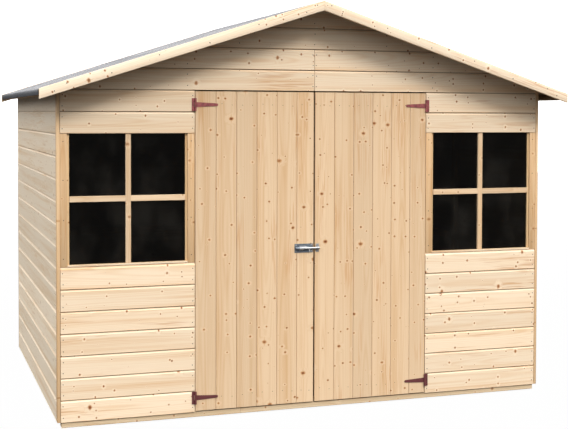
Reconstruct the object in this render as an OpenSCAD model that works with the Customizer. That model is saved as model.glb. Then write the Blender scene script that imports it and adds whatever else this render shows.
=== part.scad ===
// Wooden garden shed with double doors, two front windows and an apex roof.
// The front faces -Y, +X is to the right, and Z = 0 is the ground under the bearers.

/* [Walls] */
// Width over the side wall boards
wall_w = 2745; // [2200:1:3400]
// Depth over the front and back wall boards
wall_d = 2110; // [1600:1:2700]
// Height of the roof's top line above the ground at the side walls
eave_h = 1753; // [1750:1:2300]
// Height of the lowest wall board's bottom edge above the ground
skirt_h = 29; // [10:1:38]
// Thickness of the wall boards
clad_t = 12; // [8:1:20]
// Gap between the ends of the front boards and the corner trim
corner_gap = 4; // [2:1:12]

/* [Board rows] */
// Height that one row of boards covers
row_h = 113; // [95:1:114]
// Rows below the windows
sill_rows = 7; // [4:1:8]
// Rows from the bottom of the wall to the top of the windows
window_rows = 13; // [11:1:13]
// Rows from the bottom of the wall to the top of the doorway
door_rows = 15; // [14:1:15]
// Rows from the bottom of the wall to the top of the split boards over the doors
header_rows = 17; // [16:1:17]

/* [Framing] */
// Width of a framing timber, across the wall's face
stud_w = 45; // [30:1:60]
// Depth of a framing timber, into the shed
stud_d = 28; // [20:1:45]
// Gap left between the ends of framing timbers
fit_gap = 0.5; // [0.2:0.1:2]

/* [Floor] */
// Height of the floor bearers
bearer_h = 44; // [40:1:70]
// Width of a floor bearer
bearer_w = 44; // [30:1:60]
// Number of floor bearers
bearer_n = 4; // [3:1:6]
// Thickness of the floor boards
deck_t = 12; // [9:1:20]
// Distance of the floor's edge behind the wall's face
floor_inset = 22; // [21:1:27]

/* [Windows] */
// Width of a window's side strips
jamb_w = 37; // [25:1:45]
// Width that the framing shows beside the glass
reveal_w = 11; // [5:1:14]
// Depth of a window's side strips behind the wall's face
jamb_inset = 3; // [1:1:5]
// Height of the window sill above its row's line
sill_rise = 9; // [4:1:15]
// Thickness of the glass
glass_t = 3; // [2:1:6]
// Depth of the glass behind the wall's face
glass_inset = 20; // [14:1:23]
// Gap around the glass
glass_gap = 1; // [0.5:0.5:3]

/* [Doors] */
// Width of the doorway between the front panels
door_w = 1324; // [1000:1:1500]
// Gap between a door and the panel that it hangs on
hinge_gap = 6; // [5:0.5:8]
// Gap between the two doors
meeting_gap = 7; // [5:1:12]
// Gap over the doors
door_top_gap = 7; // [5:1:12]
// Height of the doors' bottom edge above that of the wall boards
door_lift = 5; // [5:1:12]
// Thickness of a door's boards
leaf_t = 12; // [9:1:15]
// Height of a door's ledges
ledge_h = 86; // [60:1:86]
// Thickness of a door's ledges and brace
ledge_t = 20; // [14:1:28]
// Distance of the ledges from the doors' side edges
ledge_inset = 40; // [30:1:60]
// Height of the hinges from the doors' nearer end
hinge_end = 70; // [70:1:120]

/* [Hinges] */
// Length of a hinge's strap from its pin
strap_l = 122; // [90:1:150]
// Height of a strap at its root
strap_root = 26; // [20:1:32]
// Height of a strap at its rounded tip
strap_tip = 14; // [10:1:18]
// Thickness of a hinge's plate and strap
hinge_t = 2.5; // [1.5:0.5:3]
// Width of a hinge's plate from its pin
plate_w = 19; // [15:1:25]
// Height of a hinge's plate
plate_h = 67; // [55:1:80]
// Diameter of a hinge's knuckle
knuckle_d = 11; // [10:1:12]
// Diameter of a hinge's pin
pin_d = 5; // [4:0.5:6]
// Clearance around a hinge's pin
pin_clear = 0.1; // [0.05:0.05:0.3]

/* [Bolt] */
// Height of the bolt above the wall boards' bottom edge
bolt_z = 845; // [700:1:1000]
// Length of the bolt's plate
bolt_plate_l = 104; // [90:1:120]
// Height of the bolt's plate
bolt_plate_h = 48; // [36:1:60]
// Thickness of the plates under the bolt and its keeper
bolt_plate_t = 2; // [1.5:0.5:3]
// Diameter of the bolt's rod
rod_d = 9; // [8:0.5:10]
// Length of the bolt's rod
rod_l = 104; // [100:1:108]
// Distance that the rod slides
rod_travel = 28; // [28:1:30]
// Outer diameter of the barrel that guides the rod
barrel_d = 15; // [14:1:18]
// Length of the barrel
barrel_l = 63; // [55:1:66]
// Length of the knob that hangs from the rod
knob_l = 22; // [16:1:24]
// Diameter of the knob
knob_d = 6; // [5:1:7]
// Width of the keeper
keeper_w = 18; // [14:1:22]
// Height of the keeper
keeper_h = 45; // [36:1:54]

/* [Corner trim] */
// Thickness of a corner trim strip, which shows beside the front boards
trim_t = 16; // [13:1:20]

/* [Roof] */
// Slope of the roof in degrees
pitch = 18; // [12:0.5:24]
// Overhang of the roof past the side wall boards
side_over = 100; // [60:1:150]
// Overhang of the roof past the front wall boards
front_over = 159; // [60:1:220]
// Overhang of the roof past the back wall boards
back_over = 67; // [40:1:160]
// Thickness of the roof boards
roof_t = 11; // [9:1:18]
// Gap between the roof boards and what carries them
seat_gap = 0.2; // [0.1:0.1:1]
// Thickness of the roofing felt with its laps
felt_t = 4; // [3:0.5:6]
// Height of the felt that is turned down at the eaves
felt_turn = 16; // [12:1:24]
// Upright height of a bargeboard
barge_h = 52; // [40:1:90]
// Thickness of a bargeboard
barge_t = 16; // [12:1:22]
// Width of an eaves batten
batten_w = 30; // [20:1:40]
// Height of an eaves batten
batten_h = 24; // [20:1:34]
// Width of the ridge beam
ridge_w = 34; // [28:1:45]
// Height of the ridge beam
ridge_h = 70; // [50:1:90]

/* [Hidden] */
$fn = 48;

// Places along the shed
roof_len = front_over + wall_d + back_over;
front_y = front_over - roof_len / 2;
back_y = front_y + wall_d;
frame_front_y = front_y + clad_t;
frame_back_y = back_y - clad_t;
half_w = wall_w / 2;
panel_x = half_w - trim_t;
frame_x = half_w - clad_t;

// Heights
slope = tan(pitch);
stretch = 1 / cos(pitch);
apex_z = eave_h + slope * half_w;
deck_top_apex = apex_z - felt_t * stretch;
deck_apex = deck_top_apex - roof_t * stretch;
under_apex = deck_apex - seat_gap * stretch;
floor_z = bearer_h + deck_t;
sill_z = skirt_h + sill_rows * row_h;
window_top_z = skirt_h + window_rows * row_h;
door_head_z = skirt_h + door_rows * row_h;
header_top_z = skirt_h + header_rows * row_h;
eave_x = half_w + side_over;

function under_z(x) = under_apex - slope * abs(x);
function under_x(z) = (under_apex - z) / slope;

// Front panels and windows
door_x = door_w / 2;
panel_end_x = panel_x - corner_gap;
glass_in_x = door_x + jamb_w + reveal_w;
glass_out_x = panel_x - jamb_w - reveal_w;
glass_bottom_z = sill_z + sill_rise;

// Doors
leaf_w = (door_w - 2 * hinge_gap - meeting_gap) / 2;
leaf_bottom_z = skirt_h + door_lift;
leaf_top_z = door_head_z - door_top_gap;
hinge_low_z = leaf_bottom_z + hinge_end;
hinge_high_z = leaf_top_z - hinge_end;
hinge_x = door_x - hinge_gap / 2;
hinge_y = front_y - knuckle_d / 2 - 0.3;

// Bolt
bolt_mid_z = skirt_h + bolt_z;
bolt_sunk = 0.5; // depth of the barrel's foot in its plate
bolt_y = front_y - bolt_plate_t - barrel_d / 2 + bolt_sunk;
bolt_plate_end = -meeting_gap / 2 - 5;
bolt_plate_start = bolt_plate_end - bolt_plate_l;
barrel_start = bolt_plate_start + 4;
knob_x = bolt_plate_end - 21.5;
keeper_start = meeting_gap / 2 + 5;
rod_tip = keeper_start + 11.5;
rod_fit = 0.1; // gap around the rod in its barrel
keeper_fit = 0.6; // gap around the rod in its keeper

// ---- Shared shapes ----

// A box between two corners
module block(low, high) {
    translate(low) cube(high - low);
}

// An outline in X and Z, extruded from y1 back to y2
module slab(y1, y2) {
    translate([0, y2, 0]) rotate([90, 0, 0]) linear_extrude(y2 - y1) children();
}

// Children as modelled for side 1, and mirrored for side -1
module side(s) {
    if (s > 0) children();
    else mirror([1, 0, 0]) children();
}

// The wall outline under the roof, from z1 up to z2
module gable_outline(x1, x2, z1, z2) {
    intersection() {
        polygon([[-half_w, z1], [half_w, z1], [half_w, under_z(half_w)],
                 [0, under_apex], [-half_w, under_z(half_w)]]);
        translate([x1, z1]) square([x2 - x1, z2 - z1]);
    }
}

// ---- Floor ----

module floor_bearers() {
    step = (wall_d - 2 * floor_inset - bearer_w) / (bearer_n - 1);
    color("darkkhaki")
        for (i = [0 : bearer_n - 1])
            block([floor_inset - half_w, front_y + floor_inset + i * step, 0],
                  [half_w - floor_inset, front_y + floor_inset + i * step + bearer_w, bearer_h]);
}

module floor_deck() {
    color("burlywood")
        block([floor_inset - half_w, front_y + floor_inset, bearer_h],
              [half_w - floor_inset, back_y - floor_inset, floor_z]);
}

// ---- Wall boards ----

// The rows below a front window
module front_cladding(s) {
    color("burlywood") side(s)
        block([door_x, front_y, skirt_h], [panel_end_x, frame_front_y, sill_z]);
}

// The rows between a front window and the split boards over the doors
module window_head_boards(s) {
    color("burlywood") side(s)
        block([door_x, front_y, window_top_z], [panel_end_x, frame_front_y, door_head_z]);
}

// The rows that butt over the middle of the doorway
module header_boards(s) {
    color("burlywood") side(s)
        slab(front_y, frame_front_y)
            gable_outline(fit_gap, panel_end_x, door_head_z, header_top_z);
}

module front_gable_boards() {
    color("burlywood")
        slab(front_y, frame_front_y)
            gable_outline(-panel_end_x, panel_end_x, header_top_z, apex_z);
}

module side_wall_cladding(s) {
    color("tan") side(s)
        block([frame_x, frame_front_y + stud_d, skirt_h], [half_w, frame_back_y, under_z(half_w)]);
}

module back_wall_cladding() {
    color("tan")
        slab(frame_back_y, back_y)
            gable_outline(-half_w, half_w, skirt_h, apex_z);
}

// ---- Wall framing ----

// One upright of a front or back wall, whose inner or left edge is at x
module upright(x, y, z1, z2) {
    block([x, y, z1], [x + stud_w, y + stud_d, z2]);
}

// One rail of a front or back wall between x1 and x2, with its bottom edge at z
module rail(x1, x2, y, z) {
    block([x1 + fit_gap, y, z], [x2 - fit_gap, y + stud_d, z + stud_w]);
}

// Two uprights, and rails at the floor, the sill, the window's top and the wall's top
module front_frame(s) {
    left = door_x;
    right = panel_x;
    color("peru") side(s) {
        block([left, frame_front_y, floor_z], [glass_in_x, frame_front_y + stud_d, door_head_z]);
        block([glass_out_x, frame_front_y, floor_z], [right, frame_front_y + stud_d, door_head_z]);
        rail(glass_in_x, glass_out_x, frame_front_y, floor_z);
        rail(glass_in_x, glass_out_x, frame_front_y, glass_bottom_z - stud_w);
        rail(glass_in_x, glass_out_x, frame_front_y, window_top_z);
        rail(glass_in_x, glass_out_x, frame_front_y, door_head_z - stud_w);
    }
}

// A cross rail, a post under the ridge and two rafters along the roof's slope
module gable_frame(y, rail_z) {
    rail_top = rail_z + stud_w;
    reach = min(under_x(rail_top) - stud_w, panel_x);
    block([-reach, y, rail_z], [reach, y + stud_d, rail_top]);
    post_top = under_apex - ridge_h - slope * ridge_w / 2 - 2 * fit_gap;
    block([-stud_w / 2, y, rail_top + fit_gap], [stud_w / 2, y + stud_d, post_top]);
    for (s = [-1, 1])
        side(s) slab(y, y + stud_d)
            rafter_outline(rail_top + fit_gap);
}

// A rafter's outline, cut level at its foot, and plumb at its head and beside the corner
module rafter_outline(foot_z) {
    drop = stud_w * stretch;
    head_x = ridge_w / 2 + stud_w;
    intersection() {
        polygon([[head_x, under_z(head_x) - drop], [under_x(foot_z + drop), foot_z],
                 [under_x(foot_z), foot_z], [head_x, under_z(head_x)]]);
        translate([0, foot_z]) square([panel_x, under_apex - foot_z]);
    }
}

module front_gable_frame() {
    color("peru") gable_frame(frame_front_y, door_head_z + fit_gap);
}

module back_wall_frame() {
    y = frame_back_y - stud_d;
    color("peru") {
        for (x = [-frame_x, -stud_w / 2, frame_x - stud_w])
            upright(x, y, floor_z, door_head_z);
        for (s = [-1, 1])
            side(s)
                for (z = [floor_z, sill_z - stud_w, door_head_z - stud_w])
                    rail(stud_w / 2, frame_x - stud_w, y, z);
        gable_frame(y, door_head_z + fit_gap);
    }
}

// Three uprights between the front and back frames, with rails between them
module side_wall_frame(s) {
    y1 = frame_front_y + stud_d + fit_gap;
    y2 = frame_back_y - stud_d - fit_gap;
    middle = (y1 + y2) / 2;
    top_z = under_z(frame_x) - fit_gap;
    x1 = frame_x - stud_d;
    color("peru") side(s) {
        for (y = [y1, middle - stud_w / 2, y2 - stud_w])
            block([x1, y, floor_z], [frame_x, y + stud_w, top_z]);
        for (z = [floor_z, sill_z - stud_w, top_z - stud_w]) {
            block([x1, y1 + stud_w + fit_gap, z],
                  [frame_x, middle - stud_w / 2 - fit_gap, z + stud_w]);
            block([x1, middle + stud_w / 2 + fit_gap, z],
                  [frame_x, y2 - stud_w - fit_gap, z + stud_w]);
        }
    }
}

// ---- Corner trim and windows ----

module corner_trim(s) {
    color("wheat") side(s)
        block([panel_x, front_y, skirt_h],
              [half_w, frame_front_y + stud_d, under_z(half_w)]);
}

// The strips on the framing at both sides of a window, and the sill between them
module window_frame(s) {
    y = front_y + jamb_inset;
    color("wheat") side(s) {
        block([door_x, y, sill_z + fit_gap], [door_x + jamb_w, frame_front_y, window_top_z - fit_gap]);
        block([panel_x - jamb_w, y, sill_z + fit_gap],
              [panel_x, frame_front_y, window_top_z - fit_gap]);
        block([door_x + jamb_w + fit_gap, y, sill_z + fit_gap],
              [panel_x - jamb_w - fit_gap, frame_front_y, glass_bottom_z]);
    }
}

module window_glass(s) {
    y = front_y + glass_inset;
    color([0.1, 0.1, 0.1]) side(s)
        block([glass_in_x + glass_gap, y, glass_bottom_z + glass_gap],
              [glass_out_x - glass_gap, y + glass_t, window_top_z - glass_gap]);
}

// ---- Doors ----

module door_leaf(s) {
    color("burlywood") side(s)
        block([meeting_gap / 2, front_y, leaf_bottom_z],
              [meeting_gap / 2 + leaf_w, front_y + leaf_t, leaf_top_z]);
}

// Two ledges, and a brace that rises from the hinge side
module door_ledges(s) {
    y1 = front_y + leaf_t;
    y2 = y1 + ledge_t;
    x1 = meeting_gap / 2 + ledge_inset;
    x2 = meeting_gap / 2 + leaf_w - ledge_inset;
    low_top = hinge_low_z + ledge_h / 2 + fit_gap;
    high_bottom = hinge_high_z - ledge_h / 2 - fit_gap;
    foot = ledge_h;
    color("burlywood") side(s) {
        for (z = [hinge_low_z, hinge_high_z])
            block([x1, y1, max(z - ledge_h / 2, floor_z + door_lift)], [x2, y2, z + ledge_h / 2]);
        slab(y1, y2)
            polygon([[x2 - foot, low_top], [x2, low_top], [x1 + foot, high_bottom], [x1, high_bottom]]);
    }
}

// ---- Hinges ----

// A strap's outline, from its pin to its round tip, along +X for d = 1 or -X for d = -1
module strap_outline(d) {
    tip_x = d * (strap_l - strap_tip / 2);
    polygon([[d, -strap_root / 2], [tip_x, -strap_tip / 2], [tip_x, strap_tip / 2], [d, strap_root / 2]]);
    translate([tip_x, 0]) circle(d = strap_tip);
}

// A strap with its knuckle, with the pin at the origin
module hinge_strap(d) {
    face = front_y - hinge_y;
    difference() {
        union() {
            slab(face - hinge_t, face) strap_outline(d);
            translate([0, 0, -strap_root / 2]) cylinder(d = knuckle_d, h = strap_root);
        }
        translate([0, 0, -strap_root]) cylinder(d = pin_d + 2 * pin_clear, h = 2 * strap_root);
    }
}

// A plate with its two knuckles and the pin, reaching away from the strap's direction d
module hinge_plate(d) {
    face = front_y - hinge_y;
    mid = strap_root / 2 + fit_gap;
    clear_x = knuckle_d / 2 + 1.5;
    knuckle_h = plate_h / 2 - mid;
    slab(face - hinge_t, face)
        difference() {
            polygon([[0, -plate_h / 2], [-d * plate_w, -plate_h / 2],
                     [-d * plate_w, plate_h / 2], [0, plate_h / 2]]);
            translate([-clear_x, -mid]) square([2 * clear_x, 2 * mid]);
        }
    for (z = [-plate_h / 2, mid])
        translate([0, 0, z]) cylinder(d = knuckle_d, h = knuckle_h);
    translate([0, 0, -plate_h / 2]) cylinder(d = pin_d, h = plate_h);
}

module hinge_straps(s) {
    color("indianred")
        for (z = [hinge_low_z, hinge_high_z])
            translate([s * hinge_x, hinge_y, z]) hinge_strap(-s);
}

module hinge_plates(s) {
    color("indianred")
        for (z = [hinge_low_z, hinge_high_z])
            translate([s * hinge_x, hinge_y, z]) hinge_plate(-s);
}

// ---- Bolt ----

// A round bar along the bolt's line, from x over a length l
module bolt_bar(x, l, d) {
    translate([x, bolt_y, bolt_mid_z]) rotate([0, 90, 0]) cylinder(d = d, h = l);
}

// A plate of height h on the door's face, with a tube of the barrel's diameter on it
module plate_and_tube(x1, x2, h, tube_x, tube_l) {
    block([x1, front_y - bolt_plate_t, bolt_mid_z - h / 2], [x2, front_y, bolt_mid_z + h / 2]);
    bolt_bar(tube_x, tube_l, barrel_d);
}

// The plate with its barrel, slotted below where the knob slides into it
module bolt_plate() {
    slot_w = knob_d + 2;
    slot_start = knob_x - rod_travel - slot_w / 2;
    barrel_end = barrel_start + barrel_l;
    color("slategray")
        difference() {
            plate_and_tube(bolt_plate_start, bolt_plate_end, bolt_plate_h, barrel_start, barrel_l);
            bolt_bar(barrel_start - 1, barrel_l + 2, rod_d + 2 * rod_fit);
            block([slot_start, bolt_y - slot_w / 2, bolt_mid_z - barrel_d],
                  [barrel_end + 1, bolt_y + slot_w / 2, bolt_mid_z]);
        }
}

// The rod, shot into its keeper, with its knob hanging down
module bolt_rod() {
    color("silver") {
        bolt_bar(rod_tip - rod_l, rod_l, rod_d);
        translate([knob_x, bolt_y, bolt_mid_z - knob_l]) cylinder(d = knob_d, h = knob_l);
    }
}

module bolt_keeper() {
    color("slategray")
        difference() {
            plate_and_tube(keeper_start, keeper_start + keeper_w, keeper_h, keeper_start, keeper_w);
            bolt_bar(keeper_start - 1, keeper_w + 2, rod_d + 2 * keeper_fit);
        }
}

// ---- Roof ----

module ridge_beam() {
    top = under_apex - slope * ridge_w / 2;
    color("peru")
        block([-ridge_w / 2, frame_front_y + fit_gap, top - ridge_h],
              [ridge_w / 2, frame_back_y - fit_gap, top]);
}

// Battens under the roof boards' lower edges, from bargeboard to bargeboard
module eaves_battens() {
    reach = roof_len / 2 - barge_t;
    outer = eave_x - felt_t;
    inner = outer - batten_w;
    color("peru")
        for (s = [-1, 1])
            side(s) slab(-reach, reach)
                polygon([[inner, under_z(inner) - batten_h], [outer, under_z(outer) - batten_h],
                         [outer, under_z(outer)], [inner, under_z(inner)]]);
}

module roof_deck(s) {
    reach = roof_len / 2 - barge_t;
    outer = eave_x - felt_t;
    drop = slope * outer;
    color("burlywood") side(s)
        slab(-reach, reach)
            polygon([[0, deck_apex], [outer, deck_apex - drop],
                     [outer, deck_top_apex - drop], [0, deck_top_apex]]);
}

// Felt over the roof boards, turned down over the eaves
module roof_felt(s) {
    reach = roof_len / 2 - barge_t;
    inner = eave_x - felt_t;
    edge_z = apex_z - slope * eave_x;
    color("slategray") side(s)
        slab(-reach, reach)
            polygon([[0, deck_top_apex], [inner, deck_top_apex - slope * inner],
                     [inner, edge_z - felt_turn], [eave_x, edge_z - felt_turn],
                     [eave_x, edge_z], [0, apex_z]]);
}

// A bargeboard with plumb ends, whose front face is at y
module bargeboard(s, y) {
    edge_z = apex_z - slope * eave_x;
    color("wheat") side(s)
        slab(y, y + barge_t)
            polygon([[0, apex_z - barge_h], [eave_x, edge_z - barge_h], [eave_x, edge_z], [0, apex_z]]);
}

// ---- Nodes ----

floor_bearers();
floor_deck();
front_cladding(-1);  // front_left_cladding
front_cladding(1);  // front_right_cladding
window_head_boards(-1);  // left_window_head_boards
window_head_boards(1);  // right_window_head_boards
header_boards(-1);  // left_header_boards
header_boards(1);  // right_header_boards
front_gable_boards();
side_wall_cladding(-1);  // left_wall_cladding
side_wall_cladding(1);  // right_wall_cladding
back_wall_cladding();
front_frame(-1);  // front_left_frame
front_frame(1);  // front_right_frame
front_gable_frame();
side_wall_frame(-1);  // left_wall_frame
side_wall_frame(1);  // right_wall_frame
back_wall_frame();
corner_trim(-1);  // left_corner_trim
corner_trim(1);  // right_corner_trim
window_frame(-1);  // left_window_frame
window_frame(1);  // right_window_frame
window_glass(-1);  // left_window_glass
window_glass(1);  // right_window_glass
door_leaf(-1);  // left_door_leaf
door_leaf(1);  // right_door_leaf
door_ledges(-1);  // left_door_ledges
door_ledges(1);  // right_door_ledges
hinge_plates(-1);  // left_hinge_plates
hinge_plates(1);  // right_hinge_plates
hinge_straps(-1);  // left_hinge_straps
hinge_straps(1);  // right_hinge_straps
bolt_plate();
bolt_rod();
bolt_keeper();
ridge_beam();
eaves_battens();
roof_deck(-1);  // left_roof_deck
roof_deck(1);  // right_roof_deck
roof_felt(-1);  // left_roof_felt
roof_felt(1);  // right_roof_felt
bargeboard(-1, -roof_len / 2);  // front_left_bargeboard
bargeboard(1, -roof_len / 2);  // front_right_bargeboard
bargeboard(-1, roof_len / 2 - barge_t);  // back_left_bargeboard
bargeboard(1, roof_len / 2 - barge_t);  // back_right_bargeboard
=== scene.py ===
"""Looks of a wooden garden shed: its boards, timbers, felt, ironwork and windows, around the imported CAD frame."""
import math
import random

import bmesh
import bpy
from mathutils import Matrix, Vector, noise


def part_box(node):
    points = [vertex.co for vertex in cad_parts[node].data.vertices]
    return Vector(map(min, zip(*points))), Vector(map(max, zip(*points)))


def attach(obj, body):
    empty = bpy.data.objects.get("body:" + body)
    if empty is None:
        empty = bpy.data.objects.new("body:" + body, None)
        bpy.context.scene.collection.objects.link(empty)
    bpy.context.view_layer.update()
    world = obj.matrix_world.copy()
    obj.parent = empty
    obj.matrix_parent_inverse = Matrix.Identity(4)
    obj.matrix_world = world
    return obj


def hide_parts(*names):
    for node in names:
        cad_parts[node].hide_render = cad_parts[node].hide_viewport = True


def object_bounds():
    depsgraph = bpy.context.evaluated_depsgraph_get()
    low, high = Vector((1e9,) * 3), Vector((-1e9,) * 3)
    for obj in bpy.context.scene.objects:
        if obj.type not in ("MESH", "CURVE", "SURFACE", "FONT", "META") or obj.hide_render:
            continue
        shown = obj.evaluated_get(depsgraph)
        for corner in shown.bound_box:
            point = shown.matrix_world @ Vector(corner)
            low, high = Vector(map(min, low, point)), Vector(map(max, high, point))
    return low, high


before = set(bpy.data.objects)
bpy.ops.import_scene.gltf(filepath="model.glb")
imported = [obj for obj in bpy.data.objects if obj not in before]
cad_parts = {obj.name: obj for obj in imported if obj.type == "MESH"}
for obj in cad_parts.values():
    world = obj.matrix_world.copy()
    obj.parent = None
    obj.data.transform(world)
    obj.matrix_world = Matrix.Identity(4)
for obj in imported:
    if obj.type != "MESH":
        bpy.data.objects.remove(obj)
CAD_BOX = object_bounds()
random.seed(7)

# ---- Sizes read from the frame, in metres ----

MM = 0.001
FRONT_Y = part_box("front_left_cladding")[0][1]
BACK_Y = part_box("back_wall_cladding")[1][1]
CLAD_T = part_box("front_left_cladding")[1][1] - FRONT_Y
HALF_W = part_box("right_wall_cladding")[1][0]
SKIRT_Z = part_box("front_left_cladding")[0][2]
SILL_ROWS = 7
ROW_H = (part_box("front_left_cladding")[1][2] - SKIRT_Z) / SILL_ROWS
APEX_Z = CAD_BOX[1][2]
EAVE_X = CAD_BOX[1][0]
PITCH = math.radians(18)
SLOPE = math.tan(PITCH)
UNDER_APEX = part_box("back_wall_cladding")[1][2]
DECK_T = 11 * MM
FLOOR_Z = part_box("floor_deck")[1][2]


def srgb(r, g, b):
    """A colour given as it looks on a screen, 0 to 255, as linear values with alpha."""
    def lin(c):
        c = c / 255
        return c / 12.92 if c <= 0.04045 else ((c + 0.055) / 1.055) ** 2.4
    return (lin(r), lin(g), lin(b), 1.0)


# ---- Camera ----

def make_camera():
    """The photograph's viewpoint: at eye height, left of the doors, turned to the right."""
    eye = Vector((-2.107, FRONT_Y - 6.134, 1.604))
    yaw, tilt, roll = math.radians(19.825), math.radians(-1.826), math.radians(0.206)
    data = bpy.data.cameras.new("camera")
    data.sensor_width = 36
    data.lens = 75.9
    data.shift_x = -0.0856
    data.shift_y = -0.111
    data.clip_end = 200
    camera = bpy.data.objects.new("camera", data)
    turn = Matrix.Rotation(-yaw, 4, "Z") @ Matrix.Rotation(math.pi / 2 + tilt, 4, "X")
    camera.matrix_world = Matrix.Translation(eye) @ turn @ Matrix.Rotation(roll, 4, "Z")
    bpy.context.scene.collection.objects.link(camera)
    bpy.context.scene.camera = camera


# ---- Node helpers ----

class Wire:
    """A shader socket with arithmetic: each operation adds a Math node to its tree."""

    def __init__(self, tree, socket):
        self.tree = tree
        self.socket = socket

    def math(self, kind, other=None, clamp=False):
        node = self.tree.nodes.new("ShaderNodeMath")
        node.operation = kind
        node.use_clamp = clamp
        plug(self.tree, node.inputs[0], self)
        if other is not None:
            plug(self.tree, node.inputs[1], other)
        return Wire(self.tree, node.outputs[0])

    def __add__(self, other):
        return self.math("ADD", other)

    def __sub__(self, other):
        return self.math("SUBTRACT", other)

    def __mul__(self, other):
        return self.math("MULTIPLY", other)

    def __truediv__(self, other):
        return self.math("DIVIDE", other)

    def __pow__(self, other):
        return self.math("POWER", other)

    def ramp(self, low, high, to_low=0.0, to_high=1.0):
        """Smoothly from to_low at low to to_high at high, held flat beyond both."""
        node = self.tree.nodes.new("ShaderNodeMapRange")
        node.interpolation_type = "SMOOTHSTEP"
        plug(self.tree, node.inputs["Value"], self)
        for name, value in (("From Min", low), ("From Max", high), ("To Min", to_low), ("To Max", to_high)):
            plug(self.tree, node.inputs[name], value)
        return Wire(self.tree, node.outputs[0])


def plug(tree, target, value):
    """Links a wire or a socket to an input, or sets the input to a number."""
    if isinstance(value, Wire):
        tree.links.new(value.socket, target)
    elif isinstance(value, bpy.types.NodeSocket):
        tree.links.new(value, target)
    else:
        target.default_value = value


def split(tree, vector):
    node = tree.nodes.new("ShaderNodeSeparateXYZ")
    plug(tree, node.inputs[0], vector)
    return [Wire(tree, s) for s in node.outputs]


def join(tree, x, y, z):
    node = tree.nodes.new("ShaderNodeCombineXYZ")
    for target, value in zip(node.inputs, (x, y, z)):
        plug(tree, target, value)
    return Wire(tree, node.outputs[0])


def noise_at(tree, vector, seed=0.0, detail=2.0, rough=0.5):
    """Noise from 0 to 1 at a vector, with a seed as its fourth coordinate."""
    node = tree.nodes.new("ShaderNodeTexNoise")
    node.noise_dimensions = "4D"
    plug(tree, node.inputs["Vector"], vector)
    plug(tree, node.inputs["W"], seed)
    node.inputs["Scale"].default_value = 1.0
    node.inputs["Detail"].default_value = detail
    node.inputs["Roughness"].default_value = rough
    return Wire(tree, node.outputs["Fac"])


def blend(tree, share, low, high, kind="MIX"):
    """Two colours mixed by a share."""
    node = tree.nodes.new("ShaderNodeMix")
    node.data_type = "RGBA"
    node.blend_type = kind
    node.clamp_factor = True
    plug(tree, node.inputs[0], share)
    plug(tree, node.inputs[6], low)
    plug(tree, node.inputs[7], high)
    return Wire(tree, node.outputs[2])


def new_material(name, **settings):
    """An empty Principled material, with constants set on the shader's own sockets."""
    material = bpy.data.materials.new(name)
    material.use_nodes = True
    shader = material.node_tree.nodes["Principled BSDF"]
    for key, value in settings.items():
        shader.inputs[key.replace("_", " ")].default_value = value
    return material, material.node_tree, shader


def bump(tree, shader, height, distance, strength=1.0):
    node = tree.nodes.new("ShaderNodeBump")
    node.inputs["Strength"].default_value = strength
    node.inputs["Distance"].default_value = distance
    plug(tree, node.inputs["Height"], height)
    tree.links.new(node.outputs[0], shader.inputs["Normal"])


# ---- Materials ----

# Knot layers: cell length and height, largest radius, share of cells without one, and a seed's factor
KNOT_LAYERS = ((0.32, 0.100, 0.0078, 0.30, 913.0), (0.095, 0.041, 0.0040, 0.40, 517.0))


def knot_layer(group, x, y, seed, cell_x, cell_y, biggest, empty, factor):
    """Knots, at most one in each cell of a stretched grid, each with its own radius and darkness."""
    cells = group.nodes.new("ShaderNodeTexVoronoi")
    cells.voronoi_dimensions = "2D"
    cells.inputs["Scale"].default_value = 1.0
    at = join(group, x / cell_x + seed * factor, y / cell_y + seed * (factor + 71.0), 0.0)
    plug(group, cells.inputs["Vector"], at)
    ax, ay, _ = split(group, at)
    px, py, _ = split(group, cells.outputs["Position"])
    size, tone, _ = split(group, cells.outputs["Color"])
    ripple = noise_at(group, join(group, x * 130.0, y * 130.0, 0.0), seed * 41.0, 2.0)
    dx = (ax - px) * cell_x
    dy = (ay - py) * cell_y * 0.8
    away = ((dx * dx + dy * dy) ** 0.5) * (ripple * 0.9 + 0.55)
    radius = size.ramp(empty, 1.0, 0.0, biggest)
    near = away / (radius + 0.0002)
    tail = ((dx.math("ABSOLUTE") * 0.28 + dy.math("ABSOLUTE") * 1.6) * (ripple * 0.9 + 0.55)) / (radius + 0.0002)
    return {"core": near.ramp(0.55, 1.0, 1.0, 0.0) * (tone * 0.45 + 0.6),
            "halo": near.ramp(0.9, 1.7, 0.85, 0.0).math("MAXIMUM", tail.ramp(0.5, 1.3, 0.42, 0.0)),
            "pale": near.ramp(2.0, 4.2, 0.75, 0.0),
            "push": near.ramp(0.0, 5.0, 1.0, 0.0) * radius * 1.4}


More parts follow.
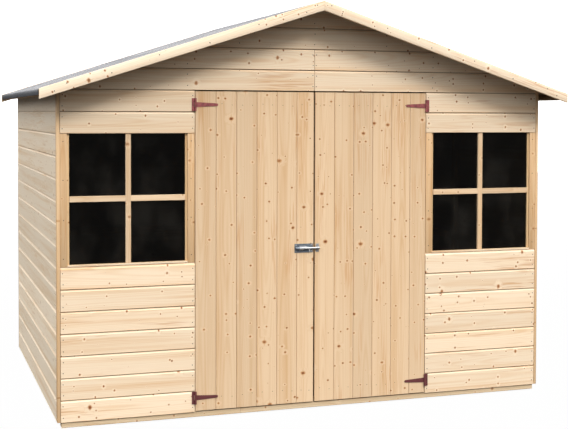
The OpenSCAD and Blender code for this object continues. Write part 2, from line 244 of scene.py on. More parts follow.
def pine_group():
    """Sawn pine in board coordinates: x along the grain, y across, z in from the face, all from the log's heart."""
    group = bpy.data.node_groups.new("pine_figure", "ShaderNodeTree")
    face = group.interface
    face.new_socket("Grain", in_out="INPUT", socket_type="NodeSocketVector")
    face.new_socket("Seed", in_out="INPUT", socket_type="NodeSocketFloat")
    face.new_socket("Depth", in_out="INPUT", socket_type="NodeSocketFloat")
    for name in ("Light", "Warm", "Resin", "Knot"):
        face.new_socket(name, in_out="INPUT", socket_type="NodeSocketColor")
    for name in ("Rings", "Knots", "Streaks", "JointShade"):
        face.new_socket(name, in_out="INPUT", socket_type="NodeSocketFloat")
    face.new_socket("Color", in_out="OUTPUT", socket_type="NodeSocketColor")
    face.new_socket("Roughness", in_out="OUTPUT", socket_type="NodeSocketFloat")
    face.new_socket("Height", in_out="OUTPUT", socket_type="NodeSocketFloat")
    source = group.nodes.new("NodeGroupInput")
    sink = group.nodes.new("NodeGroupOutput")
    given = {s.name: Wire(group, s) for s in source.outputs if s.name}
    x, y, z = split(group, given["Grain"])
    seed = given["Seed"]
    depth = given["Depth"]
    knots = [knot_layer(group, x, y, seed, *sizes) for sizes in KNOT_LAYERS]
    push = sum((k["push"] for k in knots[1:]), knots[0]["push"])

    # Growth rings round the heart of the log, which wanders along the board
    wander = noise_at(group, join(group, x * 1.1, y * 3.0, z * 3.0), seed * 37.0, 2.0)
    wander_z = noise_at(group, join(group, x * 0.7, y * 2.0, z * 2.0), seed * 53.0 + 9.0, 1.0)
    ry = y + (wander - 0.5) * 0.030
    rz = z + (wander_z - 0.5) * 0.060
    reach = (ry * ry + rz * rz) ** 0.5 + push * given["Knots"]
    uneven = noise_at(group, join(group, reach * 90.0, seed * 11.0, 0.0), seed * 5.0, 1.0)
    phase = reach / 0.0052 + uneven * 1.5
    ring = ((phase * math.tau).math("COSINE") * 0.5 + 0.5) ** 2.5

    streak = noise_at(group, join(group, x * 0.55, y * 26.0, z * 26.0), seed * 71.0, 3.0, 0.6)
    patch = noise_at(group, join(group, x * 2.2, y * 7.0, z * 7.0), seed * 23.0, 2.0)
    fibre = noise_at(group, join(group, x * 9.0, y * 700.0, z * 700.0), seed * 3.0, 2.0, 0.7)

    # Resin flecks: short brown lines along the grain, in a few places
    fleck = noise_at(group, join(group, x * 6.0, y * 150.0, z * 150.0), seed * 13.0, 1.0)
    place = noise_at(group, join(group, x * 1.6, y * 11.0, z * 11.0), seed * 19.0, 1.0)
    fleck = fleck.ramp(0.50, 0.64) * place.ramp(0.54, 0.66)

    warmth = (streak.ramp(0.44, 0.74) * 0.75 + ring * given["Rings"] + (patch - 0.5) * 0.4) * given["Streaks"]
    colour = blend(group, warmth.math("ADD", 0.0, clamp=True), given["Light"], given["Warm"])
    shade = (fibre - 0.5) * 0.12 + 1.0
    shade = shade * ((seed * 997.0).math("FRACT") * 0.13 + 0.915)
    colour = blend(group, 1.0, colour, join(group, shade, shade, shade), "MULTIPLY")
    colour = blend(group, fleck * given["Streaks"] * 0.62, colour, given["Resin"])
    core = 0.0
    for knot in knots:
        colour = blend(group, knot["pale"] * given["Knots"], colour, given["Light"])
        colour = blend(group, knot["halo"] * given["Knots"], colour, given["Resin"])
        colour = blend(group, knot["core"] * given["Knots"], colour, given["Knot"])
        core = knot["core"] + core

    # Painted shade: deep in a joint, between the boards, the wood is darkened towards a dark brown
    joint_shaded_colour = blend(group, depth.ramp(0.0046, 0.0064) * given["JointShade"], colour, srgb(96, 70, 46))
    plug(group, sink.inputs["Color"], joint_shaded_colour)
    plug(group, sink.inputs["Roughness"], (fibre - 0.5) * 0.12 + 0.60 - ring * 0.05 - core * 0.15)
    plug(group, sink.inputs["Height"], fibre * 0.35 + ring * 0.35 + core * 0.5)
    return group


PINE_GROUP = pine_group()


# One setting gives the strength of the painted shade deep in the joints between boards.
def pine(name, light, warm, knot=(122, 68, 38), resin=(200, 142, 86), rings=0.35, knots=1.0, streaks=1.0,
         joint_shade=0.65, relief=0.25):
    """A pine material that follows each board's own grain."""
    material, tree, shader = new_material(name, Specular_IOR_Level=0.28)
    figure = tree.nodes.new("ShaderNodeGroup")
    figure.node_tree = PINE_GROUP
    for target, layer, output in (("Grain", "grain", "Vector"), ("Seed", "seed", "Fac"),
                                  ("Depth", "depth", "Fac")):
        reader = tree.nodes.new("ShaderNodeAttribute")
        reader.attribute_name = layer
        tree.links.new(reader.outputs[output], figure.inputs[target])
    for key, value in (("Light", srgb(*light)), ("Warm", srgb(*warm)), ("Resin", srgb(*resin)),
                       ("Knot", srgb(*knot)), ("Rings", rings), ("Knots", knots), ("Streaks", streaks),
                       ("JointShade", joint_shade)):
        figure.inputs[key].default_value = value
    tree.links.new(figure.outputs["Color"], shader.inputs["Base Color"])
    tree.links.new(figure.outputs["Roughness"], shader.inputs["Roughness"])
    bump(tree, shader, figure.outputs["Height"], relief * MM)
    return material


def felt_material():
    """Mineral felt: pale granules pressed into dark bitumen."""
    material, tree, shader = new_material("mineral_felt", Specular_IOR_Level=0.25, Roughness=0.92)
    place = tree.nodes.new("ShaderNodeTexCoord").outputs["Object"]
    x, y, z = split(tree, place)
    grain = noise_at(tree, join(tree, x * 900.0, y * 900.0, z * 900.0), 1.0, 2.0, 0.7)
    cloud = noise_at(tree, join(tree, x * 5.0, y * 2.0, z * 5.0), 2.0, 3.0, 0.6)
    lines = noise_at(tree, join(tree, x * 70.0, y * 1.5, z * 70.0), 3.0, 2.0, 0.6)
    pale = blend(tree, cloud.ramp(0.3, 0.7), srgb(148, 149, 153), srgb(174, 175, 179))
    pale = blend(tree, lines.ramp(0.5, 0.75) * 0.5, pale, srgb(108, 109, 113))
    colour = blend(tree, grain.ramp(0.36, 0.60), srgb(78, 80, 86), pale)
    # Painted shade: the felt turned down over the eaves grows dark towards its lower edge
    reader = tree.nodes.new("ShaderNodeAttribute")
    reader.attribute_name = "fold"
    wear_and_shade = blend(tree, grain.ramp(0.40, 0.70), srgb(44, 46, 50), srgb(84, 87, 92))
    colour = blend(tree, reader.outputs["Fac"], colour, wear_and_shade)
    plug(tree, shader.inputs["Base Color"], colour)
    bump(tree, shader, grain + cloud * 3.0, 0.6 * MM)
    return material


def metal_material(name, base, dark, metallic, rough, wear_and_shade=None, scale=1.0, low_colour=None):
    """Painted or plated metal with cloudy tone, fine scratches and, where given, wear that shows another colour
    and a second colour that takes over towards the bottom."""
    material, tree, shader = new_material(name, Metallic=metallic, Specular_IOR_Level=0.45)
    place = tree.nodes.new("ShaderNodeTexCoord").outputs["Object"]
    x, y, z = split(tree, place)
    cloud = noise_at(tree, join(tree, x * 60.0 * scale, y * 60.0, z * 60.0 * scale), 1.0, 3.0, 0.65)
    scratch = noise_at(tree, join(tree, x * 40.0, y * 900.0, z * 1400.0), 5.0, 2.0, 0.6)
    colour = blend(tree, cloud.ramp(0.3, 0.7), srgb(*dark), srgb(*base))
    if wear_and_shade:
        colour = blend(tree, cloud.ramp(0.66, 0.74) * scratch.ramp(0.4, 0.6), colour, srgb(*wear_and_shade))
    # Towards the bottom a second colour takes over: none at 1.1 m, rising to 85 percent at 0.3 m and below
    if low_colour:
        colour = blend(tree, z.ramp(0.3, 1.1, 0.85, 0.0), colour, srgb(*low_colour))
    plug(tree, shader.inputs["Base Color"], colour)
    plug(tree, shader.inputs["Roughness"], (cloud - 0.5) * 0.3 + (scratch - 0.5) * 0.15 + rough)
    bump(tree, shader, cloud + scratch * 0.4, 0.08 * MM)
    return material


def glass_material():
    """Thin clear glass, dark against the closed shed's inside, with a little dust."""
    material, tree, shader = new_material("window_pane", IOR=1.45, Specular_IOR_Level=0.5)
    place = tree.nodes.new("ShaderNodeTexCoord").outputs["Object"]
    x, y, z = split(tree, place)
    film = noise_at(tree, join(tree, x * 7.0, y * 7.0, z * 4.0), 2.0, 4.0, 0.6)
    dust = noise_at(tree, join(tree, x * 5.0, y * 5.0, z * 3.2), 7.0, 3.0, 0.62)
    plug(tree, shader.inputs["Base Color"], blend(tree, film, srgb(112, 108, 102), srgb(130, 126, 118)))
    plug(tree, shader.inputs["Transmission Weight"], dust.ramp(0.42, 0.72, 1.0, 0.945))
    plug(tree, shader.inputs["Roughness"], film.ramp(0.4, 0.9, 0.02, 0.10))
    return material


# Each pine sets its own strength of painted shade in the joints.
WALL_PINE = pine("wall_pine", (246, 226, 199), (226, 186, 140), streaks=0.8)
SIDE_PINE = pine("side_pine", (239, 223, 200), (224, 194, 156), resin=(218, 188, 150), knots=0.8, rings=0.2,
                 joint_shade=0.25)
DOOR_PINE = pine("door_pine", (229, 201, 167), (206, 164, 116), streaks=0.7, joint_shade=0.6)
TRIM_PINE = pine("trim_pine", (232, 206, 174), (208, 168, 122), knots=0.6, rings=0.3)
STRIP_PINE = pine("strip_pine", (222, 190, 150), (200, 154, 104), knots=0.7, rings=0.3)
BARGE_PINE = pine("barge_pine", (254, 236, 211), (238, 204, 164), knots=0.9, rings=0.3, streaks=0.8)
FRAME_PINE = pine("frame_pine", (221, 190, 146), (188, 142, 92), knots=0.9, relief=0.5)
BASE_PINE = pine("base_pine", (226, 205, 174), (200, 172, 134), knots=0.7, relief=0.5)
FLOOR_PINE = pine("floor_pine", (226, 196, 152), (196, 150, 98))
# Dark pine as painted shade: the roof boards' underside and the eaves battens lie in the roof's shadow
PAINTED_SHADE_ROOF_PINE = pine("painted_shade_roof_pine", (116, 92, 64), (86, 64, 42))
FELT = felt_material()
# The hinges grow darker towards the bottom
HINGE_PAINT = metal_material("hinge_paint", (162, 88, 90), (122, 64, 68), 0.0, 0.55, wear_and_shade=(90, 60, 58),
                             low_colour=(92, 48, 50))
ZINC = metal_material("bright_zinc", (128, 138, 150), (96, 106, 118), 0.35, 0.34)
BRIGHT = metal_material("bright_rod", (232, 234, 238), (206, 210, 216), 0.55, 0.26)
PLATED = metal_material("plated_steel", (184, 187, 192), (150, 155, 162), 0.5, 0.34)
NAIL = metal_material("nail_steel", (56, 44, 38), (34, 27, 24), 0.0, 0.75, scale=4.0)
GLASS = glass_material()

# ---- Timber building ----

class Timber:
    """A mesh of separate pieces of wood, each with its own grain coordinates and seed."""

    def __init__(self):
        self.bm = bmesh.new()
        self.grain = self.bm.verts.layers.float_vector.new("grain")
        self.seed = self.bm.verts.layers.float.new("seed")
        self.depth = self.bm.verts.layers.float.new("depth")

    def prism(self, outline, length, place, jointed=False):
        """An outline of (across, depth) points, extruded along the grain and put in place by a matrix.
        The matrix takes (along, depth, across) to the shed's frame. Jointed boards get painted shade deep between
        them."""
        seed = random.random()
        start = random.uniform(0, 40)
        middle = sum(w for w, v in outline) / len(outline)
        heart = (random.uniform(-0.035, 0.035), random.uniform(0.03, 0.11))
        ends = []
        for u in (0, length):
            ring = []
            for w, v in outline:
                vert = self.bm.verts.new(place @ Vector((u, v, w)))
                vert[self.grain] = (u + start, w - middle + heart[0], v + heart[1])
                vert[self.seed] = seed
                vert[self.depth] = v if jointed else 0.0
                ring.append(vert)
            ends.append(ring)
        first, last = ends
        faces = [self.bm.faces.new(first), self.bm.faces.new(last[::-1])]
        for i in range(len(outline)):
            j = (i + 1) % len(outline)
            faces.append(self.bm.faces.new((first[j], first[i], last[i], last[j])))
        return faces

    def trim(self, point, normal):
        """Cuts off what lies beyond a plane, and closes the cut."""
        geometry = list(self.bm.verts) + list(self.bm.edges) + list(self.bm.faces)
        bmesh.ops.bisect_plane(self.bm, geom=geometry, plane_co=point, plane_no=normal, clear_outer=True)
        open_edges = [e for e in self.bm.edges if len(e.link_faces) == 1]
        if open_edges:
            bmesh.ops.holes_fill(self.bm, edges=open_edges)

    def finish(self, name, body, slot, material, *nodes, smooth=35):
        bmesh.ops.recalc_face_normals(self.bm, faces=self.bm.faces)
        mesh = bpy.data.meshes.new(name)
        self.bm.to_mesh(mesh)
        self.bm.free()
        return put(name, mesh, body, slot, material, *nodes, smooth=smooth)


def put(name, mesh, body, slot, material, *nodes, smooth=35):
    """Links a mesh as a piece that rides on a body, takes a material and stands for some CAD nodes, which it hides;
    the slot is not used.
    """
    mesh.materials.append(material)
    mesh.polygons.foreach_set("use_smooth", [True] * len(mesh.polygons))
    mesh.set_sharp_from_angle(angle=math.radians(smooth))
    piece = bpy.data.objects.new(name, mesh)
    bpy.context.scene.collection.objects.link(piece)
    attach(piece, body)
    if nodes:
        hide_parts(*nodes)
    return piece


def facing(along, inward, corner):
    """A matrix from (along, depth, up) to the frame, for a wall whose outer face starts at corner."""
    matrix = Matrix.Identity(4)
    for column, axis in enumerate((along, inward, (0, 0, 1))):
        for row in range(3):
            matrix[row][column] = axis[row]
    return Matrix.Translation(corner) @ matrix


FRONT = facing((1, 0, 0), (0, 1, 0), (0, FRONT_Y, SKIRT_Z))
BACK = facing((-1, 0, 0), (0, -1, 0), (0, BACK_Y, SKIRT_Z))
LEFT = facing((0, -1, 0), (1, 0, 0), (-HALF_W, 0, SKIRT_Z))
RIGHT = facing((0, 1, 0), (-1, 0, 0), (HALF_W, 0, SKIRT_Z))

NAIL_PROUD = 0.5 * MM
LIP = 6.0 * MM
TONGUE = 7 * MM
COVE_H = 13 * MM
COVE_START = math.radians(35)


def shiplap(tongue=True, height=None):
    """A board's section: a lip that laps the board below, a flat face, and a hollow under the next board's lip."""
    height = height or ROW_H
    edge = 0.8 * MM
    points = [(edge, 0), (0, edge)]
    if height >= ROW_H:
        foot = height - COVE_H
        depth = LIP + 0.4 * MM
        low, steep = math.sin(COVE_START), math.cos(COVE_START)
        for step in range(7):
            a = COVE_START + (math.pi / 2 - COVE_START) * step / 6
            points += [(foot + COVE_H * (steep - math.cos(a)) / steep, depth * (math.sin(a) - low) / (1 - low))]
        top = height + (TONGUE if tongue else 0)
        if tongue:
            points += [(top, depth)]
        points += [(top, CLAD_T)]
    else:
        points += [(height, 0), (height, CLAD_T)]
    points += [(TONGUE + MM, CLAD_T), (TONGUE + MM, LIP), (0, LIP)]
    return points


def wall_rows(timber, wall, first, last, start, end, top=None, clean_top=False):
    """Rows first to last - 1 of shiplap on a wall, from start to end along it; top cuts the last row level."""
    for row in range(first, last):
        z = row * ROW_H
        last_row = row == last - 1
        height = min(ROW_H, top - SKIRT_Z - z) if top else ROW_H
        outline = shiplap(tongue=not last_row, height=height)
        timber.prism(outline, end - start, wall @ Matrix.Translation((start, 0, z)),
                     jointed=not (last_row and clean_top))


def roof_trim(timber, clear=1 * MM):
    """Cuts boards off just under the roof boards."""
    for side in (-1, 1):
        normal = Vector((side * math.sin(PITCH), 0, math.cos(PITCH)))
        timber.trim(Vector((0, 0, UNDER_APEX - clear)), normal)


def node_timber(node, name=None, material=None, slot="framing_timber", body="shed", bevel=1.5 * MM, inset=0.0):
    """The node's own solids as timbers with eased edges, each with the grain along its longest edge.
    The inset moves faces at the shed's front and back ends inwards, as room for the nail heads."""
    timber = Timber()
    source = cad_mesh(node)
    bm = timber.bm
    bm.from_mesh(source)
    bmesh.ops.remove_doubles(bm, verts=bm.verts, dist=1e-5)
    bmesh.ops.dissolve_limit(bm, angle_limit=math.radians(1), verts=bm.verts, edges=bm.edges)
    bmesh.ops.recalc_face_normals(bm, faces=bm.faces)
    for v in bm.verts:
        if abs(v.co.y) > CAD_BOX[1][1] - 0.1 * MM:
            v.co.y -= math.copysign(inset, v.co.y)
    grain, seed = timber.grain, timber.seed
    for island in islands(bm):
        edges = {e for v in island for e in v.link_edges}
        longest = max(edges, key=lambda e: e.calc_length())
        along = (longest.verts[1].co - longest.verts[0].co).normalized()
        across = widest(island, along)
        depth = along.cross(across)
        middle = sum((v.co for v in island), Vector()) / len(island)
        value, start = random.random(), random.uniform(0, 40)
        heart = (random.uniform(-0.03, 0.03), random.uniform(0.025, 0.08))
        for v in island:
            at = v.co - middle
            v[grain] = (at.dot(along) + start, at.dot(across) + heart[0], at.dot(depth) + heart[1])
            v[seed] = value
    if bevel:
        bmesh.ops.bevel(bm, geom=list(bm.edges), offset=bevel, segments=2, affect="EDGES", profile=0.5)
    return timber.finish(name or node.replace("_cladding", "") + "_timber", body, slot,
                         material or FRAME_PINE, node)


def widest(island, along):
    """The direction square to along, nearest to an axis, in which the vertices reach furthest."""
    best, reach = None, 0
    for axis in (Vector((0, 0, 1)), Vector((1, 0, 0)), Vector((0, 1, 0))):
        across = axis - along * axis.dot(along)
        if across.length > 0.5:
            across.normalize()
            places = [v.co.dot(across) for v in island]
            if max(places) - min(places) > reach:
                best, reach = across, max(places) - min(places)
    return best


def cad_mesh(node):
    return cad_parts[node].data


def islands(bm):
    """The sets of joined vertices of a mesh."""
    left = set(bm.verts)
    while left:
        stack = [left.pop()]
        group = list(stack)
        while stack:
            for edge in stack.pop().link_edges:
                for v in edge.verts:
                    if v in left:
                        left.remove(v)
                        stack.append(v)
                        group.append(v)
        yield group


# ---- Walls ----

END_CLOSE = 2 * MM
BUTT_GAP = 1.2 * MM


def front_walls():
    for side, name in ((-1, "left"), (1, "right")):
        low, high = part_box(f"front_{name}_cladding")
        ends = (low[0] - END_CLOSE, high[0]) if side < 0 else (low[0], high[0] + END_CLOSE)
        timber = Timber()
        wall_rows(timber, FRONT, 0, SILL_ROWS, *ends, clean_top=True)
        timber.finish(f"front_{name}_boards", "shed", "wall_boards", WALL_PINE, f"front_{name}_cladding")
        timber = Timber()
        wall_rows(timber, FRONT, 13, 15, *ends)
        timber.finish(f"{name}_window_top_boards", "shed", "wall_boards", WALL_PINE,
                      f"{name}_window_head_boards")
        low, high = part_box(f"{name}_header_boards")
        ends = (low[0] - END_CLOSE, -BUTT_GAP) if side < 0 else (BUTT_GAP, high[0] + END_CLOSE)
        timber = Timber()
        wall_rows(timber, FRONT, 15, 17, *ends)
        roof_trim(timber)
        timber.finish(f"{name}_door_header", "shed", "wall_boards", WALL_PINE, f"{name}_header_boards")
    timber = Timber()
    wall_rows(timber, FRONT, 17, 20, -0.8, 0.8)
    roof_trim(timber)
    timber.finish("front_gable", "shed", "wall_boards", WALL_PINE, "front_gable_boards")


def other_walls():
    for wall, name in ((LEFT, "left"), (RIGHT, "right")):
        low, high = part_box(f"{name}_wall_cladding")
        middle = (low[1] + high[1]) / 2
        timber = Timber()
        reach = (high[1] - low[1]) / 2
        place = wall @ Matrix.Translation((-middle if name == "left" else middle, 0, 0))
        wall_rows(timber, place, 0, 16, -reach, reach, top=high[2])
        timber.finish(f"{name}_wall_boards", "shed", "wall_boards", SIDE_PINE, f"{name}_wall_cladding")
    timber = Timber()
    for start, end in ((-HALF_W, -0.5 * MM), (0.5 * MM, HALF_W)):
        wall_rows(timber, BACK, 0, 17, start, end)
    wall_rows(timber, BACK, 17, 20, -0.8, 0.8)
    roof_trim(timber)
    timber.finish("back_wall_boards", "shed", "wall_boards", SIDE_PINE, "back_wall_cladding")


def framing():
    for node in ("front_left_frame", "front_right_frame", "front_gable_frame", "left_wall_frame",
                 "right_wall_frame", "back_wall_frame", "ridge_beam"):
        node_timber(node)
    # The eaves battens take the dark roof pine, painted shade under the felt's edge
    node_timber("eaves_battens", material=PAINTED_SHADE_ROOF_PINE)
    node_timber("floor_bearers", material=BASE_PINE, slot="treated_bearers", bevel=2 * MM)
    for side in ("left", "right"):
        node_timber(f"{side}_corner_trim", material=STRIP_PINE, slot="trim_timber")
        node_timber(f"{side}_window_frame", material=STRIP_PINE, slot="trim_timber", bevel=1 * MM)
        for end in ("front", "back"):
            node_timber(f"{end}_{side}_bargeboard", material=BARGE_PINE, slot="trim_timber",
                        bevel=1.2 * MM, inset=NAIL_PROUD)


def ground_strip():
    """A strip in front of the first bearer, under the front boards, in two lengths."""
    thick, clear = 14 * MM, 0.3 * MM
    low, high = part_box("floor_bearers")
    joint = low[0] + 0.94
    timber = Timber()
    for start, end in ((low[0], joint - 1 * MM), (joint, high[0])):
        place = Matrix.Translation((start, low[1] - thick - clear, 0))
        timber.prism(flat_board(SKIRT_Z - 1 * MM, thick, gap=0.0, ease=1.5 * MM), end - start, place)
    timber.finish("front_ground_strip", "shed", "treated_bearers", BASE_PINE)


# ---- Flat boards: doors, floor and roof ----

def flat_board(width, thick, gap=0.5 * MM, ease=0.8 * MM):
    """A board's section with eased edges, a little narrower than the width that it covers."""
    a, b = gap, width - gap
    return [(a + ease, 0), (a, ease), (a, thick - ease), (a + ease, thick),
            (b - ease, thick), (b, thick - ease), (b, ease), (b - ease, 0)]


DOOR_BOARD = 112 * MM
HINGE_CLOSE = 3.5 * MM


def door_boards():
    """Upright boards on each door, laid from its left edge, with the last one cut to fit."""
    for name in ("left", "right"):
        low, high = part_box(f"{name}_door_leaf")
        timber = Timber()
        x, end = (low[0] - HINGE_CLOSE, high[0]) if name == "left" else (low[0], high[0] + HINGE_CLOSE)
        while x < end - 1 * MM:
            width = min(DOOR_BOARD, end - x)
            place = Matrix(((0, 0, 1, x), (0, 1, 0, low[1]), (1, 0, 0, low[2]), (0, 0, 0, 1)))
            timber.prism(flat_board(width, high[1] - low[1], gap=0.7 * MM, ease=1.9 * MM), high[2] - low[2], place)
            x += width
        timber.finish(f"{name}_door_boards", f"{name}_door", "door_boards", DOOR_PINE, f"{name}_door_leaf")
        node_timber(f"{name}_door_ledges", material=DOOR_PINE, slot="door_boards", body=f"{name}_door",
                    bevel=2 * MM)


def floor_boards():
    low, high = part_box("floor_deck")
    count = round((high[0] - low[0]) / (119 * MM))
    width = (high[0] - low[0]) / count
    timber = Timber()
    for i in range(count):
        place = Matrix(((0, 0, 1, low[0] + i * width), (1, 0, 0, low[1]), (0, 1, 0, low[2]), (0, 0, 0, 1)))
        timber.prism(flat_board(width, high[2] - low[2]), high[1] - low[1], place)
    timber.finish("floor_boards", "shed", "deck_boards", FLOOR_PINE, "floor_deck")


def slope_matrix(side, y):
    """From (along the ridge, out from the roof, down the slope) to the frame, with zero on the CAD felt's top line."""
    down = Vector((side * math.cos(PITCH), 0, -math.sin(PITCH)))
    out = Vector((side * math.sin(PITCH), 0, math.cos(PITCH)))
    matrix = Matrix.Identity(4)
    for column, axis in enumerate((Vector((0, 1, 0)), out, down)):
        for row in range(3):
            matrix[row][column] = axis[row]
    return Matrix.Translation((0, y, APEX_Z)) @ matrix


def roof_boards():
    """Boards along the roof, under the felt."""
    for side, name in ((-1, "left"), (1, "right")):
        low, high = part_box(f"{name}_roof_deck")
        length = (high[0] - low[0]) / math.cos(PITCH)
        count = round(length / (113 * MM))
        width = length / count
        timber = Timber()
        top = -4 * MM
        for i in range(count):
            place = slope_matrix(side, low[1]) @ Matrix.Translation((0, top - DECK_T, i * width))
            timber.prism(flat_board(width, DECK_T, gap=0.4 * MM), high[1] - low[1], place)
        outer = high[0] if side > 0 else -low[0]
        timber.trim(Vector((0, 0, 0)), Vector((-side, 0, 0)))
        timber.trim(Vector((side * outer, 0, 0)), Vector((side, 0, 0)))
        # Their dark pine is painted shade for the roof's underside
        timber.finish(f"{name}_roof_boards", "shed", "deck_boards", PAINTED_SHADE_ROOF_PINE, f"{name}_roof_deck")


# ---- Roofing felt ----

def felt_strip(bm, side, y1, y2, s1, s2, lift, thick, turned=0.0, lap=True):
    """One strip of felt from s1 to s2 down the slope; turned bends its lower edge down over the eaves."""
    place = slope_matrix(side, 0)
    count_y = max(2, round((y2 - y1) / 0.045))
    count_s = max(2, round((s2 - s1) / 0.04))
    rows = []
    for i in range(count_s + 1):
        row = []
        for j in range(count_y + 1):
            y = y1 + (y2 - y1) * j / count_y
            share = i / count_s
            s = s1 + (s2 - s1) * share
            ragged = noise.noise(Vector((y * 3.0, s2 * 9.0, side * 2.0))) * 3 * MM
            if i == count_s and lap:
                s += ragged
            wave = noise.noise(Vector((y * 5.0, s * 5.0, side * 7.0 + lift * 900))) * 0.35 * MM
            out = lift + wave - 0.35 * MM
            row.append(place @ Vector((y, out, s)))
        rows.append(row)
    sheet(bm, rows, thick, side)
    if turned:
        edge = EAVE_X - 0.6 * MM
        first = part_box("front_left_bargeboard")[1][1]
        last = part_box("back_left_bargeboard")[0][1]
        fold = [[p for p in rows[-1] if first < p.y < last]]
        for depth in (0.2, 0.55, 1.0):
            fold.append([Vector((side * (edge + noise.noise(Vector((p.y * 6.0, depth, 0.5))) * 0.5 * MM),
                                 p.y, APEX_Z - SLOPE * EAVE_X - turned * depth)) for p in fold[0]])
        sheet(bm, fold, thick, side)


def sheet(bm, rows, thick, side):
    """A closed sheet through rows of points, thick in the direction away from the sky."""
    fold = bm.verts.layers.float.get("fold") or bm.verts.layers.float.new("fold")
    top = [[bm.verts.new(p) for p in row] for row in rows]
    normals = []
    for i, row in enumerate(rows):
        line = []
        for j, p in enumerate(row):
            a = rows[min(i + 1, len(rows) - 1)][j] - rows[max(i - 1, 0)][j]
            b = row[min(j + 1, len(row) - 1)] - row[max(j - 1, 0)]
            n = a.cross(b).normalized()
            line.append(n if n.z + n.x * side * 0.5 > 0 else -n)
        normals.append(line)
    low = [[bm.verts.new(p - n * thick) for p, n in zip(r, ns)] for r, ns in zip(rows, normals)]
    # The share of the 20 mm below the eaves line, where the felt's material paints shade
    eaves = APEX_Z - SLOPE * EAVE_X
    for row in top + low:
        for vert in row:
            vert[fold] = min(max((eaves - vert.co.z) / (20 * MM), 0.0), 1.0)
    last_i, last_j = len(rows) - 1, len(rows[0]) - 1
    for i in range(last_i):
        for j in range(last_j):
            bm.faces.new((top[i][j], top[i + 1][j], top[i + 1][j + 1], top[i][j + 1]))
            bm.faces.new((low[i][j], low[i][j + 1], low[i + 1][j + 1], low[i + 1][j]))
    for i in range(last_i):
        bm.faces.new((top[i][0], low[i][0], low[i + 1][0], top[i + 1][0]))
        bm.faces.new((top[i][last_j], top[i + 1][last_j], low[i + 1][last_j], low[i][last_j]))
    for j in range(last_j):
        bm.faces.new((top[0][j], top[0][j + 1], low[0][j + 1], low[0][j]))
        bm.faces.new((top[last_i][j], low[last_i][j], low[last_i][j + 1], top[last_i][j + 1]))


def roof_felt():
    """Three lapped strips on each slope, the top one starting at the ridge."""
    length = EAVE_X / math.cos(PITCH)
    lap_1, lap_2 = 0.86, 0.17
    for side, name in ((-1, "left"), (1, "right")):
        low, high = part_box(f"{name}_roof_felt")
        bm = bmesh.new()
        felt_strip(bm, side, low[1], high[1], lap_1 - 0.07, length - 3 * MM, -2.2 * MM, 1.6 * MM,
                   turned=31 * MM, lap=False)
        felt_strip(bm, side, low[1], high[1], lap_2 - 0.07, lap_1, -0.9 * MM, 1.3 * MM)
        felt_strip(bm, side, low[1], high[1], 1 * MM, lap_2, 0.0, 0.9 * MM)
        bmesh.ops.recalc_face_normals(bm, faces=bm.faces)
        mesh = bpy.data.meshes.new(f"{name}_felt")
        bm.to_mesh(mesh)
        bm.free()
        put(f"{name}_felt", mesh, "shed", "roof_felt", FELT, f"{name}_roof_felt", smooth=50)


# ---- Nails and screws ----

def disc(bm, centre, out, radius, height, sides=10, slot_turn=None):
    """A low domed head that stands on centre and faces out; slot_turn, when given, sinks its middle."""
    out = Vector(out).normalized()
    across = out.orthogonal().normalized()
    other = out.cross(across)
    rings = []
    for share, lift in ((1.0, 0.0), (0.96, 0.55), (0.6, 0.92)):
        ring = []
        for k in range(sides):
            a = math.tau * k / sides
            at = (across * math.cos(a) + other * math.sin(a)) * radius * share
            ring.append(bm.verts.new(centre + at + out * height * lift))
        rings.append(ring)
    top = bm.verts.new(centre + out * height * (0.35 if slot_turn is not None else 1.0))
    for low, high in zip(rings, rings[1:]):
        for k in range(sides):
            j = (k + 1) % sides
            bm.faces.new((low[k], low[j], high[j], high[k]))
    for k in range(sides):
        bm.faces.new((rings[-1][k], rings[-1][(k + 1) % sides], top))
    bm.faces.new(rings[0][::-1])


def heads(name, body, slot, material, places, radius, height, cross=None):
    """Many heads as one mesh; places are (centre, outward direction) pairs."""
    bm = bmesh.new()
    for centre, out in places:
        disc(bm, Vector(centre), out, radius, height, slot_turn=cross)
    mesh = bpy.data.meshes.new(name)
    bm.to_mesh(mesh)
    bm.free()
    return put(name, mesh, body, slot, material, smooth=50)


def jitter(amount=1.5 * MM):
    return random.uniform(-amount, amount)


def row_nails(wall, columns, first, last, roof=False):
    """Two nails for each row at each column along a wall."""
    places = []
    out = wall.to_3x3() @ Vector((0, -1, 0))
    for row in range(first, last):
        for u in columns:
            for w in (0.024, 0.082):
                at = wall @ Vector((u + jitter(), 0, row * ROW_H + w + jitter()))
                if not roof or at.z < UNDER_APEX - SLOPE * abs(at.x) - 12 * MM:
                    places.append((at, out))
    return places


